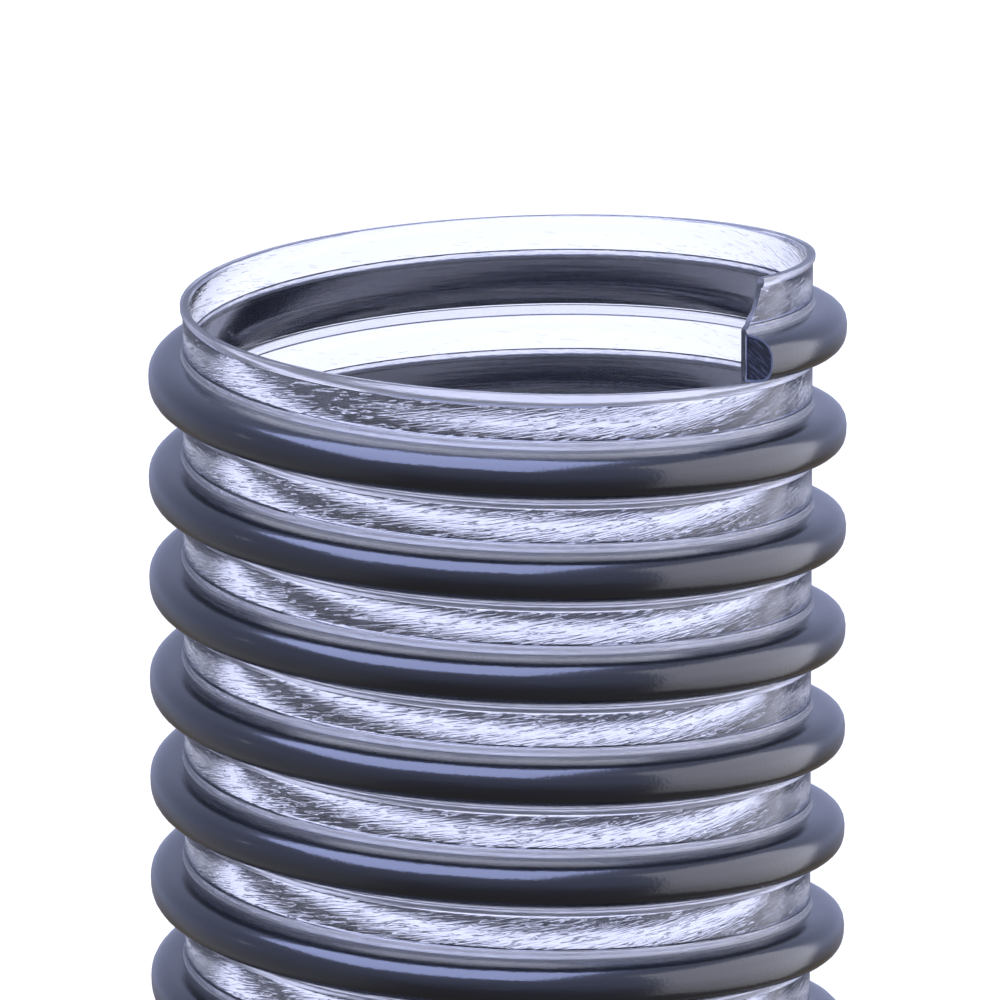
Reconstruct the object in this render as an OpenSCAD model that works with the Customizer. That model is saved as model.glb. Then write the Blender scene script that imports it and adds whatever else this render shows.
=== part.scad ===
// A straight piece of clear duct hose, stood on its lower end: a thin clear wall
// with a dark rigid spiral of loaf shaped section wound round the outside of it.
// The spiral goes down as its bearing grows, so it is left handed.
// Wall and spiral are wound from one strip, so the rim falls by one pitch in its
// single turn and ends in a step below the strip's cut end.

/* [Hose] */
// Clear bore, the nominal size that the hose is sold by
bore_d = 100; // [60:1:160]
// Thickness of the clear wall
wall_t = 0.9; // [0.5:0.1:3]
// Length of the cut piece, from its square lower end to the top of its rim
hose_len = 500; // [150:1:550]

/* [Spiral] */
// Fall of the spiral in one turn
pitch = 16.7; // [15:0.1:24]
// Width of the spiral's flat foot, along the hose
rib_w = 7.8; // [5:0.1:12]
// Height of the spiral's crest above the clear wall
rib_h = 5.5; // [2:0.1:8]
// Distance of the crest from the lower side of the foot, along the hose
crest_up = 4.2; // [2.5:0.1:4.5]
// Least play between the clear wall and the flats of the spiral's foot
rib_play = 0.05; // [0.02:0.01:0.2]

/* [Upper cut] */
// Bearing of the cut across the strip, from +X towards +Y
cut_angle = -39; // [-180:1:180]
// Clear wall left standing above the spiral at the cut
rim_web = 8.6; // [3:0.1:12]
// The rim was trimmed by hand, and is lower by this much on its far side
rim_dip = 1.9; // [0:0.1:2.5]
// Bearing of the rim's low side, from +X towards +Y
dip_angle = 90; // [-180:1:180]

/* [Hidden] */

bore_r = bore_d / 2;
wall_r = bore_r + wall_t;
// Flats in one turn of the spiral and of the rim, a multiple of four
turn_flats = 32;
// A ring's corner stands further out than the middle of the flats beside it
corner_factor = 1 / cos(180 / turn_flats);
foot_r = (wall_r + rib_play) * corner_factor;
// The foot's reach above the crest
crest_down = rib_w - crest_up;
// The section's arc is fuller than an ellipse, and more so on its lower side
lower_power = 0.68;
upper_power = 0.82;
// Height of the crest at the upper cut
crest_start_z = hose_len - rim_web - crest_down;
// The spiral runs out on the floor until this much of its section is left
run_out = 0.4;
crest_end_z = run_out - crest_down;
rib_rings = floor((crest_start_z - crest_end_z) / pitch * turn_flats);
// The arc's lowest corner, as an angle on the arc, and the steps from it to the top
arc_low = -50;
arc_steps = 4;
section_corners = arc_steps + 2;
// Room round the wall, and above it, that the rim's cut sweeps through
sweep = 2;

// One point at a radius, a bearing and a height
function polar(r, bearing, z) = [r * cos(bearing), r * sin(bearing), z];

// Bearing of ring i, and how far the helix has fallen there
function ring_bearing(i) = cut_angle + 360 * i / turn_flats;
function ring_fall(i) = pitch * i / turn_flats;

// How far the rim's dip lowers it at a bearing, beside its height at the cut
function dip(bearing) = rim_dip / 2 * (cos(bearing - dip_angle) - cos(cut_angle - dip_angle));

// The arc's reach out of the foot, and its height from the crest, at angle a:
// powers of the cosine and of the sine, so that 0 is the crest and 90 the top
function arc_out(a) = rib_h * pow(cos(a), a < 0 ? lower_power : upper_power);
function arc_up(a) = a < 0
    ? -crest_up * pow(-sin(a), lower_power)
    : crest_down * pow(sin(a), upper_power);

// Angle on the arc at which the floor cuts a section whose crest is at height z
function floor_angle(z) = z < 0
    ? asin(min(1, pow(-z / crest_down, 1 / upper_power)))
    : -asin(min(1, pow(z / crest_up, 1 / lower_power)));

// Angle of arc corner j, where the arc starts at angle low and ends at 90
function arc_angle(low, j) = low + (90 - low) * j / arc_steps;

// Section of the spiral at one ring: the foot's lower corner, then the arc from
// below to above, all kept on or above the floor
function rib_section(bearing, z) =
    let (low = max(arc_low, floor_angle(z)))
    concat(
        [polar(foot_r, bearing, max(0, z - crest_up))],
        [for (j = [0:arc_steps])
            let (a = arc_angle(low, j))
            polar(foot_r + arc_out(a), bearing, z + arc_up(a))]
    );

// Height of the rim at ring i
function rim_z(i) = hose_len - ring_fall(i) - dip(ring_bearing(i));

// The rim's cut: everything above a surface that falls by one pitch in a turn
module rim_cut() {
    n = turn_flats;
    inner_r = bore_r - sweep;
    outer_r = (wall_r + sweep) * corner_factor;
    top_z = hose_len + sweep;
    // The falling edges hold both ends of the turn, the level edges only one
    low_in = [for (i = [0:n]) polar(inner_r, ring_bearing(i), rim_z(i))];
    low_out = [for (i = [0:n]) polar(outer_r, ring_bearing(i), rim_z(i))];
    top_in = [for (i = [0:n - 1]) polar(inner_r, ring_bearing(i), top_z)];
    top_out = [for (i = [0:n - 1]) polar(outer_r, ring_bearing(i), top_z)];
    first_out = n + 1;
    first_top_in = 2 * (n + 1);
    first_top_out = first_top_in + n;
    last_top_in = first_top_in + n - 1;
    last_top_out = first_top_out + n - 1;
    falling = [for (i = [0:n - 1]) each [
        [i, first_out + i, first_out + i + 1],
        [i, first_out + i + 1, i + 1]]];
    level = [for (i = [0:n - 1])
        let (k = (i + 1) % n)
        [first_top_in + i, first_top_in + k, first_top_out + k, first_top_out + i]];
    inner = [for (i = [0:n - 2])
        [i, i + 1, first_top_in + i + 1, first_top_in + i]];
    outer = [for (i = [0:n - 2])
        [first_out + i, first_top_out + i, first_top_out + i + 1, first_out + i + 1]];
    // The last flat and the step meet both ends of the turn
    closing = [
        [n - 1, n, 0, first_top_in, last_top_in],
        [first_out + n - 1, last_top_out, first_top_out, first_out, first_out + n],
        [0, n, first_out + n, first_out]];
    polyhedron(
        points = concat(low_in, low_out, top_in, top_out),
        faces = concat(falling, level, inner, outer, closing)
    );
}

module clear_wall() {
    color([0.84, 0.87, 0.95, 0.5])
    difference() {
        cylinder(r = wall_r, h = hose_len, $fn = 180);
        translate([0, 0, -sweep])
        cylinder(r = bore_r, h = hose_len + 2 * sweep, $fn = 180);
        rim_cut();
    }
}

module spiral_rib() {
    m = section_corners;
    corners = [for (i = [0:rib_rings]) each
        rib_section(ring_bearing(i), crest_start_z - ring_fall(i))];
    skin = [for (i = [0:rib_rings - 1], j = [0:m - 1]) each
        let (a = i * m + j, b = i * m + (j + 1) % m)
        [[a, b, b + m], [a, b + m, a + m]]];
    start_face = [for (j = [0:m - 1]) m - 1 - j];
    end_face = [for (j = [0:m - 1]) rib_rings * m + j];
    color([0.23, 0.26, 0.35])
    polyhedron(points = corners, faces = concat(skin, [start_face, end_face]));
}

clear_wall();
spiral_rib();
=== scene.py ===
"""A straight piece of clear duct hose with a dark spiral, stood on its lower end.

Everything is in metres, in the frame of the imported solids.  The wall and the
spiral are wound from one strip: the strip's height falls as its bearing grows.
"""

import math

import bpy
import numpy as np
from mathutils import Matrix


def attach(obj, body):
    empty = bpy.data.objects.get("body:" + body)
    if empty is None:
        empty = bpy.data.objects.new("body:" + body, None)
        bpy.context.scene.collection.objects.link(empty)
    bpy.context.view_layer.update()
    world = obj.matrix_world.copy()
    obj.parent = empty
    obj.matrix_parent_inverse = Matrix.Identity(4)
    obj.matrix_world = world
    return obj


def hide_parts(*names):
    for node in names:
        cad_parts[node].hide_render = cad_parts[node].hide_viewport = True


MM = 0.001
TURN = 2 * math.pi

# The hose, as in the solids
BORE_R = 50.0 * MM
WALL_R = 50.9 * MM
HOSE_LEN = 500.0 * MM
PITCH = 16.7 * MM
CUT_BEARING = math.radians(-39)

# The spiral's section: its crest stands out of a flat foot, which reaches
# further below the crest than above it
RIB_H = 5.5 * MM
CREST_UP = 4.2 * MM
CREST_DOWN = 3.6 * MM
LOWER_POWER = 0.68
UPPER_POWER = 0.82
FOOT_R = WALL_R + 0.05 * MM

# The strip's upper edge is the rim, this far above the foot's upper side
RIM_WEB = 8.6 * MM
CREST_DROP = RIM_WEB + CREST_DOWN
RIM_DIP = 1.9 * MM
DIP_BEARING = math.radians(90)

WALL_COLUMNS = 84
RIB_COLUMNS = 96


def dip_at(bearing):
    """How far the hand-trimmed rim is lower at a bearing than at the cut: half the dip times
    the cosine of the bearing from the dip's own, less the same cosine at the cut."""
    return RIM_DIP / 2 * (np.cos(bearing - DIP_BEARING) - math.cos(CUT_BEARING - DIP_BEARING))


def polar(radius, bearing, height):
    """Points from radius, bearing and height: x is the radius times the bearing's cosine,
    y times its sine, z the height."""
    x = radius * np.cos(bearing)
    y = radius * np.sin(bearing)
    return np.stack(np.broadcast_arrays(x, y, height), axis=-1)


def new_piece(name, points, corners, counts, uvs, slots, materials, sharp_degrees):
    """A mesh object at the origin from flat arrays: points, the corners of all faces end to
    end, the corner count, finish and map place of each, with edges sharper than the angle
    kept hard."""
    mesh = bpy.data.meshes.new(name)
    mesh.vertices.add(len(points))
    mesh.vertices.foreach_set("co", points.astype(np.float32).ravel())
    mesh.loops.add(len(corners))
    mesh.loops.foreach_set("vertex_index", corners.astype(np.int32))
    starts = np.concatenate(([0], np.cumsum(counts)[:-1]))
    mesh.polygons.add(len(counts))
    mesh.polygons.foreach_set("loop_start", starts.astype(np.int32))
    mesh.polygons.foreach_set("loop_total", counts.astype(np.int32))
    mesh.polygons.foreach_set("material_index", slots.astype(np.int32))
    mesh.polygons.foreach_set("use_smooth", np.ones(len(counts), dtype=bool))
    strip_map = mesh.uv_layers.new(name="strip")
    strip_map.uv.foreach_set("vector", uvs.astype(np.float32).ravel())
    for material in materials:
        mesh.materials.append(material)
    mesh.update(calc_edges=True)
    mesh.validate()
    mesh.set_sharp_from_angle(angle=math.radians(sharp_degrees))
    piece = bpy.data.objects.new(name, mesh)
    bpy.context.scene.collection.objects.link(piece)
    return piece


# Rows across the strip: distance below the strip's upper edge, how far the outer
# face stands out of the plain wall there, and how deep the inner face is let in
STRIP_ROWS = np.array([
    # the welded lip along the upper edge
    (0.00, 0.26, 0.05),
    (0.14, 0.40, 0.00),
    (0.85, 0.42, 0.00),
    (1.48, 0.38, 0.00),
    # the seam under the lip
    (1.66, -0.05, 0.04),
    (1.90, 0.00, 0.00),
    # the plain web
    (4.50, 0.00, 0.00),
    (7.05, 0.00, 0.00),
    # the weld above the spiral: a thin bead, a hollow, and skin that runs up the
    # spiral's side and into it
    (7.22, -0.05, 0.00),
    (7.42, 0.14, 0.00),
    (7.70, 0.20, 0.00),
    (7.92, 0.08, 0.00),
    (8.15, 0.04, 0.00),
    (8.40, 0.22, 0.00),
    (8.90, 0.62, 0.00),
    # under the spiral's foot
    (9.00, 0.00, 0.00),
    (12.50, 0.00, 0.00),
    (16.40, 0.00, 0.00),
]) * MM
LIP_END = 1.9 * MM
WELD_LIP = 1.4 * MM
WELD_WEDGE = (7.3 * MM, 8.8 * MM)
# The film's cut end leans back by this angle at the top, and not below this depth
CUT_LEAN = math.radians(5)
CUT_LEAN_DEPTH = 8.1 * MM
CUT_LEAN_REACH = math.radians(16)


def clear_wall(materials):
    """The wall as one closed shell.  Columns are bearings of one turn, rows run down the
    strip and on over the strips below it, so that a row at the last column meets the row one
    strip lower at the first.  Height is the strip's top, which falls by one pitch in a turn,
    less the row's distance below it; rows under the floor end on it."""
    n, m = WALL_COLUMNS, len(STRIP_ROWS)
    strips = math.ceil(HOSE_LEN / PITCH) + 1
    depth = (STRIP_ROWS[:, 0] + PITCH * np.arange(strips)[:, None]).ravel()
    rows = len(depth)
    first = np.arange(rows) < m
    column = np.arange(n)
    bearing = CUT_BEARING + TURN * column / n

    # The film's cut leans, and the columns after it make room for that
    lean = CUT_LEAN * np.clip(1 - (depth / CUT_LEAN_DEPTH) ** 2, 0, 1) * first
    s = np.clip((bearing - CUT_BEARING) / CUT_LEAN_REACH, 0, 1)
    along = bearing[:, None] + lean * (1 - 3 * s ** 2 + 2 * s ** 3)[:, None]

    # The trimmed rim is lower on its far side, where little of the lip is left
    share = np.clip((LIP_END - depth) / LIP_END, 0, 1) * first
    below = depth + dip_at(along) * share
    height = HOSE_LEN - PITCH * (along - CUT_BEARING) / TURN - below

    table = np.append(STRIP_ROWS, [[PITCH, STRIP_ROWS[0, 1], STRIP_ROWS[0, 2]]], axis=0)
    down = np.clip(below - PITCH * (np.arange(rows) // m), 0, PITCH)
    outer = WALL_R + np.interp(down, table[:, 0], table[:, 1])
    inner = BORE_R + np.interp(down, table[:, 0], table[:, 2])
    last = np.argmax(height <= 0, axis=1)
    kept = np.arange(rows) <= last[:, None]
    height = np.maximum(height, 0)
    number = np.cumsum(kept.ravel()).reshape(kept.shape) - 1
    total = int(kept.sum())
    points = np.concatenate([
        polar(outer, along, height)[kept], polar(inner, along, height)[kept]])

    # Corner numbers of every cell: left and right column, upper and lower row
    right = (column + 1) % n
    shift = np.where(column == n - 1, m, 0)
    a, h = np.meshgrid(column, np.arange(rows - m - 1), indexing="ij")
    b = right[a]
    left_up, left_low = np.minimum(h, last[a]), np.minimum(h + 1, last[a])
    right_up = np.minimum(h + shift[a], last[b])
    right_low = np.minimum(h + 1 + shift[a], last[b])
    corner = np.stack([
        number[a, left_up], number[a, left_low],
        number[b, right_low], number[b, right_up]], axis=-1).reshape(-1, 4)
    edges = np.append(STRIP_ROWS[:, 0], PITCH)
    j, k = h % m, h // m
    girth = TURN * WALL_R
    u0, u1 = girth * (k + a / n), girth * (k + (a + 1) / n)
    cell_uv = np.stack([
        np.stack([u0, edges[j]], -1), np.stack([u0, edges[j + 1]], -1),
        np.stack([u1, edges[j + 1]], -1), np.stack([u1, edges[j]], -1)], axis=-2).reshape(-1, 4, 2)
    flat_left = corner[:, 0] == corner[:, 1]
    flat_right = corner[:, 2] == corner[:, 3]
    quad = ~flat_left & ~flat_right
    tri_l, tri_r = flat_left & ~flat_right, flat_right & ~flat_left

    # Rim, step and lower end join the outer face to the inner one
    rim = np.concatenate([number[:, 0], [number[0, m]], number[0, m - 1:0:-1]])
    rim_next = np.roll(rim, -1)
    foot = number[column, last]
    foot_next = foot[right]
    bands = np.concatenate([
        np.stack([rim, rim_next, rim_next + total, rim + total], -1),
        np.stack([foot, foot + total, foot_next + total, foot_next], -1)])
    run = np.linalg.norm(points[rim_next] - points[rim], axis=-1)
    run = np.concatenate([run, np.full(n, girth / n)])
    end = np.cumsum(run)
    start = end - run
    thick = WALL_R - BORE_R
    band_uv = np.stack([
        np.stack([start, 0 * start], -1), np.stack([end, 0 * end], -1),
        np.stack([end, 0 * end + thick], -1), np.stack([start, 0 * start + thick], -1)], axis=-2)

    # Finishes: 0 the drawn web, 3 the welds, 1 the bore, 2 the cut edges
    weld = (edges[j] < WELD_LIP) | ((edges[j] >= WELD_WEDGE[0]) & (edges[j] < WELD_WEDGE[1]))
    outside = np.where(weld, 3, 0).ravel()
    groups = []
    for flip in (False, True):
        for mask, pick in ((quad, (0, 1, 2, 3)), (tri_l, (0, 2, 3)), (tri_r, (0, 1, 2))):
            order = pick[::-1] if flip else pick
            finish = np.where(flip, 1, outside[mask])
            groups.append((corner[mask][:, order] + total * flip, cell_uv[mask][:, order], finish))
    groups.append((bands, band_uv, np.full(len(bands), 2)))
    corners = np.concatenate([c.ravel() for c, _, _ in groups])
    uvs = np.concatenate([t.reshape(-1, 2) for _, t, _ in groups])
    counts = np.concatenate([np.full(len(c), c.shape[1]) for c, _, _ in groups])
    slots = np.concatenate([s for _, _, s in groups])
    return new_piece("clear_wall_strip", points, corners, counts, uvs, slots, materials, 50)


# Angles on the section's arc, from low on its under side to the top of the foot
ARC = np.radians([-88, -84, -78, -70, -60, -49, -37, -24, -11, 2, 15, 28, 41, 53, 64, 74, 82, 87, 90])
RUN_OUT = 0.4 * MM


def arc_shape(angle):
    """Reach out of the foot and height above the crest at an angle on the arc: powers of the
    cosine and the sine, with the fuller power below the crest."""
    low = angle < 0
    power = np.where(low, LOWER_POWER, UPPER_POWER)
    reach = RIB_H * np.clip(np.cos(angle), 0, 1) ** power
    up = np.where(low, -CREST_UP, CREST_DOWN) * np.abs(np.sin(angle)) ** power
    return reach, up


def floor_angle(height):
    """Angle on the arc that lies on the floor for a crest at this height."""
    above = np.arcsin(np.clip(-height / CREST_DOWN, 0, 1) ** (1 / UPPER_POWER))
    below = -np.arcsin(np.clip(height / CREST_UP, 0, 1) ** (1 / LOWER_POWER))
    return np.where(height < 0, above, below)


def spiral_rib(materials):
    """The spiral's section carried down the helix: each ring has the foot's lower corner and
    the arc from its lowest angle to the top, and a ring near the floor starts its arc where
    the floor cuts it, so the spiral runs out level with the lower end."""
    n, m = RIB_COLUMNS, len(ARC) + 1
    crest_top = HOSE_LEN - CREST_DROP
    rings = math.floor((crest_top + CREST_DOWN - RUN_OUT) / PITCH * n)
    i = np.arange(rings + 1)
    bearing = CUT_BEARING + TURN * i / n
    crest = crest_top - PITCH * i / n
    start = np.maximum(ARC[0], floor_angle(crest))
    share = (ARC - ARC[0]) / (ARC[-1] - ARC[0])
    angle = start[:, None] + (ARC[-1] - start[:, None]) * share
    reach, up = arc_shape(angle)
    radius = np.concatenate([np.full((rings + 1, 1), FOOT_R), FOOT_R + reach], axis=1)
    height = np.concatenate([np.maximum(0, crest - CREST_UP)[:, None],
                             crest[:, None] + up], axis=1)
    points = polar(radius, bearing[:, None], np.maximum(height, 0)).reshape(-1, 3)

    ring, side = np.meshgrid(np.arange(rings), np.arange(m), indexing="ij")
    after = (side + 1) % m
    corner = np.stack([ring * m + side, ring * m + m + side,
                       ring * m + m + after, ring * m + after], -1).reshape(-1, 4)
    # The map runs along the hose in u and round the section in v, foot last
    reach0, up0 = arc_shape(ARC)
    way = np.concatenate([[0], np.cumsum(np.hypot(
        np.diff(np.append(0, reach0)), np.diff(np.append(-CREST_UP, up0))))])
    way = np.append(way, way[-1] + CREST_UP + CREST_DOWN)
    girth = TURN * (WALL_R + RIB_H)
    u0, u1 = girth * ring / n, girth * (ring + 1) / n
    uv = np.stack([np.stack([u0, way[side]], -1), np.stack([u1, way[side]], -1),
                   np.stack([u1, way[side + 1]], -1), np.stack([u0, way[side + 1]], -1)],
                  axis=-2).reshape(-1, 2)

    # The cut end: a ring of clear skin, then the core let in a little behind it
    cut_r, cut_z = radius[0], height[0]
    mid_r, mid_z = FOOT_R + 0.45 * RIB_H, crest_top - 0.05 * CREST_UP
    rim_share = np.array([1.0, 0.90, 0.87])[:, None]
    sunk = np.array([0.0, 0.0, 0.16])[:, None] * MM / WALL_R
    cap = polar(mid_r + (cut_r - mid_r) * rim_share, CUT_BEARING + sunk,
                mid_z + (cut_z - mid_z) * rim_share)
    base = len(points)
    points = np.concatenate([points, cap[1:].reshape(-1, 3)])
    loops = np.stack([np.arange(m), base + np.arange(m), base + m + np.arange(m)])
    across = np.stack([loops[:-1], loops[1:], np.roll(loops[1:], -1, 1),
                       np.roll(loops[:-1], -1, 1)], -1)
    core = loops[-1][::-1]
    tail = rings * m + np.arange(m)
    flat = np.stack([points[:, 2], np.hypot(points[:, 0], points[:, 1])], -1)
    flat_uv = [flat[across[0]].reshape(-1, 2), flat[across[1]].reshape(-1, 2), flat[core], flat[tail]]
    corners = np.concatenate([corner.ravel(), across[0].ravel(), across[1].ravel(), core, tail])
    counts = np.concatenate([np.full(len(corner), 4), np.full(2 * m, 4), [m, m]])
    slots = np.concatenate([np.zeros(len(corner)), np.full(m, 1), np.full(m, 2), [2, 0]])
    uvs = np.concatenate([uv] + flat_uv)
    return new_piece("spiral_rib_wound", points, corners, counts, uvs, slots, materials, 40)


class Nodes:
    """A short way to write a node tree: make nodes, set their sockets, join them."""

    def __init__(self, tree):
        self.tree = tree
        tree.nodes.clear()

    def add(self, kind, _settings=None, **sockets):
        node = self.tree.nodes.new(kind)
        for key, value in (_settings or {}).items():
            setattr(node, key, value)
        for key, value in sockets.items():
            socket = node.inputs[int(key[1:])] if key[0] == "i" and key[1:].isdigit() else \
                node.inputs[key.replace("_", " ")]
            if isinstance(value, bpy.types.NodeSocket):
                self.tree.links.new(value, socket)
            else:
                socket.default_value = value
        return node

    def math(self, operation, first, second=0.0, clamp=False):
        return self.add("ShaderNodeMath", {"operation": operation, "use_clamp": clamp},
                        i0=first, i1=second).outputs[0]

    def ramp(self, value, low, high, to_low=0.0, to_high=1.0):
        """The value carried from the range low to high into the range to_low to to_high."""
        return self.add("ShaderNodeMapRange", {"interpolation_type": "SMOOTHSTEP"}, Value=value,
                        From_Min=low, From_Max=high, To_Min=to_low, To_Max=to_high).outputs[0]

    def noise(self, vector, scale, detail=2.0, roughness=0.5, distortion=0.0):
        return self.add("ShaderNodeTexNoise", {"noise_dimensions": "3D"}, Vector=vector,
                        Scale=scale, Detail=detail, Roughness=roughness,
                        Distortion=distortion).outputs[0]

    def vector(self, x, y, z=0.0):
        return self.add("ShaderNodeCombineXYZ", None, X=x, Y=y, Z=z).outputs[0]

    def mix(self, share, first, second):
        node = self.add("ShaderNodeMix", {"data_type": "RGBA"})
        for socket, value in zip((node.inputs[0], node.inputs[6], node.inputs[7]),
                                 (share, first, second)):
            if isinstance(value, bpy.types.NodeSocket):
                self.tree.links.new(value, socket)
            else:
                socket.default_value = value
        return node.outputs[2]


def material(name):
    """An empty node material and its short writer."""
    made = bpy.data.materials.new(name)
    made.use_nodes = True
    return made, Nodes(made.node_tree)


def finish_with(nodes, shader):
    """The material's surface is this shader."""
    out = nodes.add("ShaderNodeOutputMaterial")
    nodes.tree.links.new(shader.outputs[0], out.inputs[0])


def strip_place(nodes):
    """Distance along the strip and across it, in millimetres, from the piece's own map."""
    uv = nodes.add("ShaderNodeUVMap", {"uv_map": "strip"}).outputs[0]
    parts = nodes.add("ShaderNodeSeparateXYZ", None, Vector=uv)
    return (nodes.math("MULTIPLY", parts.outputs[0], 1000.0),
            nodes.math("MULTIPLY", parts.outputs[1], 1000.0))


def slanted(nodes, along, across, degrees):
    """The two distances turned by an angle, so that a pattern rises along the strip."""
    c, s = math.cos(math.radians(degrees)), math.sin(math.radians(degrees))
    run = nodes.math("SUBTRACT", nodes.math("MULTIPLY", along, c), nodes.math("MULTIPLY", across, s))
    rise = nodes.math("ADD", nodes.math("MULTIPLY", along, s), nodes.math("MULTIPLY", across, c))
    return run, rise


def clear_outside():
    """Clear polyurethane with drawn streaks: fine low ridges at a slant to the strip, and sparse
    sharper dashes between them, both kept to the web between the welds."""
    made, n = material("clear_polyurethane_drawn")
    along, across = strip_place(n)
    run, rise = slanted(n, along, across, 11.0)
    fine = n.noise(n.vector(n.math("MULTIPLY", run, 0.22), n.math("MULTIPLY", rise, 3.2)),
                   1.0, 1.0, 0.6, 0.2)
    run, rise = slanted(n, along, across, 9.0)
    dashes = n.noise(n.vector(n.math("MULTIPLY", run, 0.30), n.math("MULTIPLY", rise, 2.4), 7.3),
                     1.0, 1.0, 0.5, 0.3)
    web = n.math("MULTIPLY", n.ramp(across, 1.5, 2.1), n.ramp(across, 6.9, 7.2, 1.0, 0.0))
    drawn = n.math("ADD", n.math("MULTIPLY", fine, 0.5), n.ramp(dashes, 0.56, 0.70, 0.0, 0.45))
    bump = n.add("ShaderNodeBump", None, Strength=1.0, Distance=0.00005,
                 Height=n.math("MULTIPLY", drawn, web))
    rough = n.math("ADD", 0.07, n.math("MULTIPLY", n.math("MULTIPLY", fine, web), 0.05))
    shader = n.add("ShaderNodeBsdfPrincipled", None, Base_Color=(0.87, 0.885, 0.96, 1.0),
                   Roughness=rough, IOR=1.5, Transmission_Weight=1.0, Normal=bump.outputs[0])
    finish_with(n, shader)
    return made


def clear_weld():
    """The welded lip, bead and skin: clear polyurethane gone slightly milky, with long
    wrinkles that cut into dark dashes above the spiral."""
    made, n = material("clear_polyurethane_weld")
    along, across = strip_place(n)
    wrinkle = n.noise(n.vector(n.math("MULTIPLY", along, 0.45), n.math("MULTIPLY", across, 2.4), 3.1),
                      1.0, 2.0, 0.6, 0.8)
    wedge = n.ramp(across, 7.0, 7.4)
    depth = n.math("ADD", 0.15, n.math("MULTIPLY", wedge, 0.85))
    bump = n.add("ShaderNodeBump", None, Strength=1.0, Distance=0.00014,
                 Height=n.math("MULTIPLY", wrinkle, depth))
    shader = n.add("ShaderNodeBsdfPrincipled", None, Base_Color=(0.93, 0.94, 1.0, 1.0),
                   Roughness=0.16, IOR=1.5, Transmission_Weight=0.72, Normal=bump.outputs[0])
    finish_with(n, shader)
    return made


def clear_inside():
    """The bore's smooth clear face, with faint draw lines and small pits."""
    made, n = material("clear_polyurethane_bore")
    along, across = strip_place(n)
    lines = n.noise(n.vector(n.math("MULTIPLY", along, 0.05), n.math("MULTIPLY", across, 0.9)),
                    1.0, 2.0, 0.5, 0.2)
    pits = n.add("ShaderNodeTexVoronoi", {"feature": "F1"},
                 Vector=n.vector(n.math("MULTIPLY", along, 0.07), n.math("MULTIPLY", across, 0.16)),
                 Scale=1.0, Randomness=1.0).outputs[0]
    height = n.math("ADD", n.math("MULTIPLY", lines, 0.25),
                    n.math("MULTIPLY", n.ramp(pits, 0.02, 0.07), 0.6))
    bump = n.add("ShaderNodeBump", None, Strength=0.7, Distance=0.0001, Height=height)
    rough = n.math("ADD", 0.04, n.math("MULTIPLY", lines, 0.04))
    shader = n.add("ShaderNodeBsdfPrincipled", None, Base_Color=(0.88, 0.89, 0.97, 1.0),
                   Roughness=rough, IOR=1.5, Transmission_Weight=1.0, Normal=bump.outputs[0])
    finish_with(n, shader)
    return made


def clear_cut():
    """The cut edge of the clear wall: slightly frosted, with lines left by the knife."""
    made, n = material("clear_polyurethane_cut")
    along, across = strip_place(n)
    lines = n.noise(n.vector(n.math("MULTIPLY", along, 0.15), n.math("MULTIPLY", across, 4.5)),
                    1.0, 2.0, 0.6, 0.1)
    bump = n.add("ShaderNodeBump", None, Strength=0.8, Distance=0.0001, Height=lines)
    rough = n.math("ADD", 0.14, n.math("MULTIPLY", lines, 0.16))
    shader = n.add("ShaderNodeBsdfPrincipled", None, Base_Color=(0.74, 0.77, 0.90, 1.0),
                   Roughness=rough, IOR=1.5, Transmission_Weight=0.9, Normal=bump.outputs[0])
    finish_with(n, shader)
    return made


# Where the flat foot starts on the spiral's map, in millimetres round the section
FOOT_ON_MAP = 15.6


def dark_plastic():
    """The spiral's slate blue plastic under its thin clear skin: fine grain, a little cloudy
    colour, and long low waves along the spiral."""
    made, n = material("dark_spiral_slate")
    along, across = strip_place(n)
    cloud = n.noise(n.vector(n.math("MULTIPLY", along, 0.03), n.math("MULTIPLY", across, 0.2)),
                    1.0, 1.0, 0.6, 0.3)
    grain = n.noise(n.vector(n.math("MULTIPLY", along, 1.3), n.math("MULTIPLY", across, 1.9)),
                    1.0, 2.0, 0.6, 0.3)
    waves = n.noise(n.vector(n.math("MULTIPLY", along, 0.12), n.math("MULTIPLY", across, 0.9), 5.0),
                    1.0, 1.0, 0.5, 0.3)
    body = n.mix(cloud, (0.009, 0.012, 0.020, 1.0), (0.013, 0.017, 0.028, 1.0))
    # The flat foot comes last on the map, and is smooth
    round_side = n.ramp(across, FOOT_ON_MAP - 0.6, FOOT_ON_MAP - 0.1, 1.0, 0.0)
    height = n.math("MULTIPLY", round_side, n.math("ADD", grain, n.math("MULTIPLY", waves, 1.2)))
    bump = n.add("ShaderNodeBump", None, Strength=1.0, Distance=0.000025, Height=height)
    shader = n.add("ShaderNodeBsdfPrincipled", None, Base_Color=body, Roughness=0.26,
                   IOR=1.5, Coat_Weight=1.0, Coat_Roughness=0.10, Coat_IOR=1.5,
                   Normal=bump.outputs[0], Coat_Normal=bump.outputs[0])
    finish_with(n, shader)
    return made


def skin_edge():
    """The pale edge of the clear skin round the spiral's cut end."""
    made, n = material("clear_skin_edge")
    place = n.add("ShaderNodeTexCoord").outputs["Object"]
    frost = n.noise(place, 900.0, 2.0, 0.5)
    colour = n.mix(frost, (0.12, 0.15, 0.26, 1.0), (0.28, 0.33, 0.50, 1.0))
    shader = n.add("ShaderNodeBsdfPrincipled", None, Base_Color=colour, Roughness=0.3, IOR=1.5)
    finish_with(n, shader)
    return made


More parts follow.
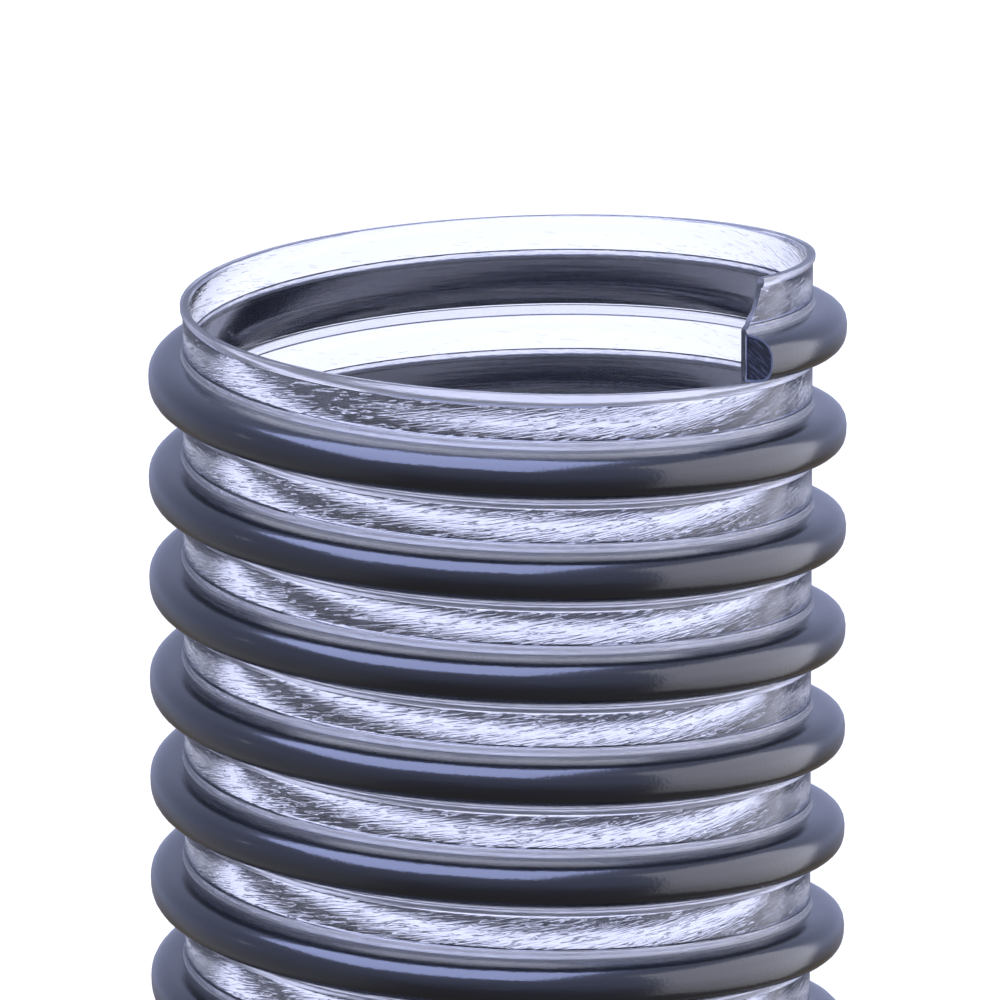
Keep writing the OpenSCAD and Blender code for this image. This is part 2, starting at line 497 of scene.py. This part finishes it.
def sawn_core():
    """The spiral's cut face: dark plastic with diagonal cutter marks."""
    made, n = material("dark_spiral_cut")
    height, out = strip_place(n)
    run, rise = slanted(n, out, height, 35.0)
    marks = n.noise(n.vector(n.math("MULTIPLY", run, 0.35), n.math("MULTIPLY", rise, 2.2)),
                    1.0, 2.0, 0.6, 0.3)
    colour = n.mix(n.ramp(marks, 0.45, 0.75), (0.012, 0.015, 0.030, 1.0), (0.12, 0.14, 0.26, 1.0))
    bump = n.add("ShaderNodeBump", None, Strength=0.8, Distance=0.0002, Height=marks)
    shader = n.add("ShaderNodeBsdfPrincipled", None, Base_Color=colour, Roughness=0.32,
                   IOR=1.5, Normal=bump.outputs[0])
    finish_with(n, shader)
    return made


def pale_floor():
    """A plain pale floor under the hose, large enough to fill the view."""
    made, n = material("pale_floor_paint")
    place = n.add("ShaderNodeTexCoord").outputs["Object"]
    colour = n.mix(n.noise(place, 6.0, 2.0, 0.5), (0.90, 0.90, 0.91, 1.0), (0.93, 0.93, 0.94, 1.0))
    finish_with(n, n.add("ShaderNodeBsdfPrincipled", None, Base_Color=colour, Roughness=0.8))
    mesh = bpy.data.meshes.new("pale_floor")
    half = 14.0
    mesh.from_pydata([(-half, -half, 0), (half, -half, 0), (half, half, 0), (-half, half, 0)],
                     [], [(0, 1, 2, 3)])
    mesh.materials.append(made)
    floor = bpy.data.objects.new("pale_floor", mesh)
    floor.visible_glossy = False
    floor.visible_diffuse = False
    bpy.context.scene.collection.objects.link(floor)


def soft_panel(name, centre, target, width, height, radiance):
    """A rectangular soft light at a place, turned to face a target, of a given radiance in
    red, green and blue: its power is pi times its area times the blue one.  It shows as
    gloss alone, and the soft sky does the plain lighting."""
    light = bpy.data.lights.new(name, "AREA")
    light.shape = "RECTANGLE"
    light.size, light.size_y = width, height
    peak = max(radiance)
    light.energy = math.pi * width * height * peak
    light.color = [v / peak for v in radiance]
    panel = bpy.data.objects.new(name, light)
    panel.location = centre
    way = np.subtract(target, centre)
    panel.rotation_euler = (
        math.atan2(math.hypot(way[0], way[1]), -way[2]), 0, math.atan2(-way[0], way[1]))
    panel.visible_diffuse = False
    panel.visible_transmission = False
    bpy.context.scene.collection.objects.link(panel)


def studio():
    """Plain soft light: a dim surround that is darker low down in front, a tall soft panel
    on the right, a wide cool panel overhead towards the front, and a soft sky."""
    world = bpy.data.worlds.new("pale_surround")
    bpy.context.scene.world = world
    world.use_nodes = True
    n = Nodes(world.node_tree)
    way = n.add("ShaderNodeTexCoord").outputs["Generated"]
    x, y, z = n.add("ShaderNodeSeparateXYZ", None, Vector=way).outputs
    low = n.mix(n.ramp(x, -0.8, -0.4, 1.0, 0.0), (0.15, 0.13, 0.11, 1.0), (0.34, 0.34, 0.38, 1.0))
    colour = n.mix(n.ramp(z, -0.42, -0.04), low, (0.37, 0.41, 0.62, 1.0))
    # The panel on the right: slopes of the direction, seen on a plane that faces +X
    side = n.math("MAXIMUM", x, 0.05)
    across, rise = n.math("DIVIDE", y, side), n.math("DIVIDE", z, side)
    edges = (n.ramp(across, -0.74, -0.60), n.ramp(across, 0.70, 0.95, 1.0, 0.0),
             n.ramp(rise, -0.92, -0.80), n.ramp(rise, 0.95, 1.15, 1.0, 0.0))
    inside = n.math("MULTIPLY", n.math("MULTIPLY", edges[0], edges[1]),
                    n.math("MULTIPLY", edges[2], edges[3]))
    glow = n.mix(n.ramp(rise, -0.8, 0.0), (0.72, 0.72, 0.74, 1.0), (1.65, 1.66, 1.95, 1.0))
    back = n.add("ShaderNodeBackground", None, Color=n.mix(inside, colour, glow), Strength=1.0)
    out = n.add("ShaderNodeOutputWorld")
    n.tree.links.new(back.outputs[0], out.inputs[0])
    soft_panel("overhead_panel", (-0.62, -0.89, 1.855), (-0.567, -0.333, 0.04), 2.55, 2.6,
               (2.75, 3.2, 5.7))
    sky = bpy.data.lights.new("soft_sky", "SUN")
    sky.energy, sky.angle = 2.6, math.radians(110)
    above = bpy.data.objects.new("soft_sky", sky)
    above.visible_glossy = False
    bpy.context.scene.collection.objects.link(above)


def camera():
    """The camera at the photograph's view: above the hose's middle line, looking along +Y
    and down."""
    elevation = math.radians(13.309)
    distance = 2.6265
    aim = 0.4566
    view = bpy.data.cameras.new("photo_view")
    view.sensor_width = 36.0
    view.lens = 584.19
    view.clip_start, view.clip_end = 0.1, 100.0
    eye = bpy.data.objects.new("photo_view", view)
    eye.location = (0.000395, -distance * math.cos(elevation), aim + distance * math.sin(elevation))
    eye.rotation_euler = (math.radians(90) - elevation, 0, 0)
    bpy.context.scene.collection.objects.link(eye)
    bpy.context.scene.camera = eye


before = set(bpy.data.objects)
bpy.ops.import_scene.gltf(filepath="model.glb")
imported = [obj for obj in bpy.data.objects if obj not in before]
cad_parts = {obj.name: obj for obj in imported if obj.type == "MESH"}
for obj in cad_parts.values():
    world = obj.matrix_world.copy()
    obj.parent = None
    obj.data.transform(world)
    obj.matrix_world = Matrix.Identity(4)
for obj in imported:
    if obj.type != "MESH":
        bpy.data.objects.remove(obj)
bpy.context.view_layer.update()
camera()
bpy.context.scene.view_settings.view_transform = "Standard"
light_paths = bpy.context.scene.cycles
light_paths.max_bounces, light_paths.transmission_bounces = 8, 8
light_paths.diffuse_bounces, light_paths.glossy_bounces = 2, 3

wall = clear_wall([clear_outside(), clear_inside(), clear_cut(), clear_weld()])
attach(wall, "root")
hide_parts("clear_wall")

rib = spiral_rib([dark_plastic(), skin_edge(), sawn_core()])
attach(rib, "root")
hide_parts("spiral_rib")

pale_floor()
studio()
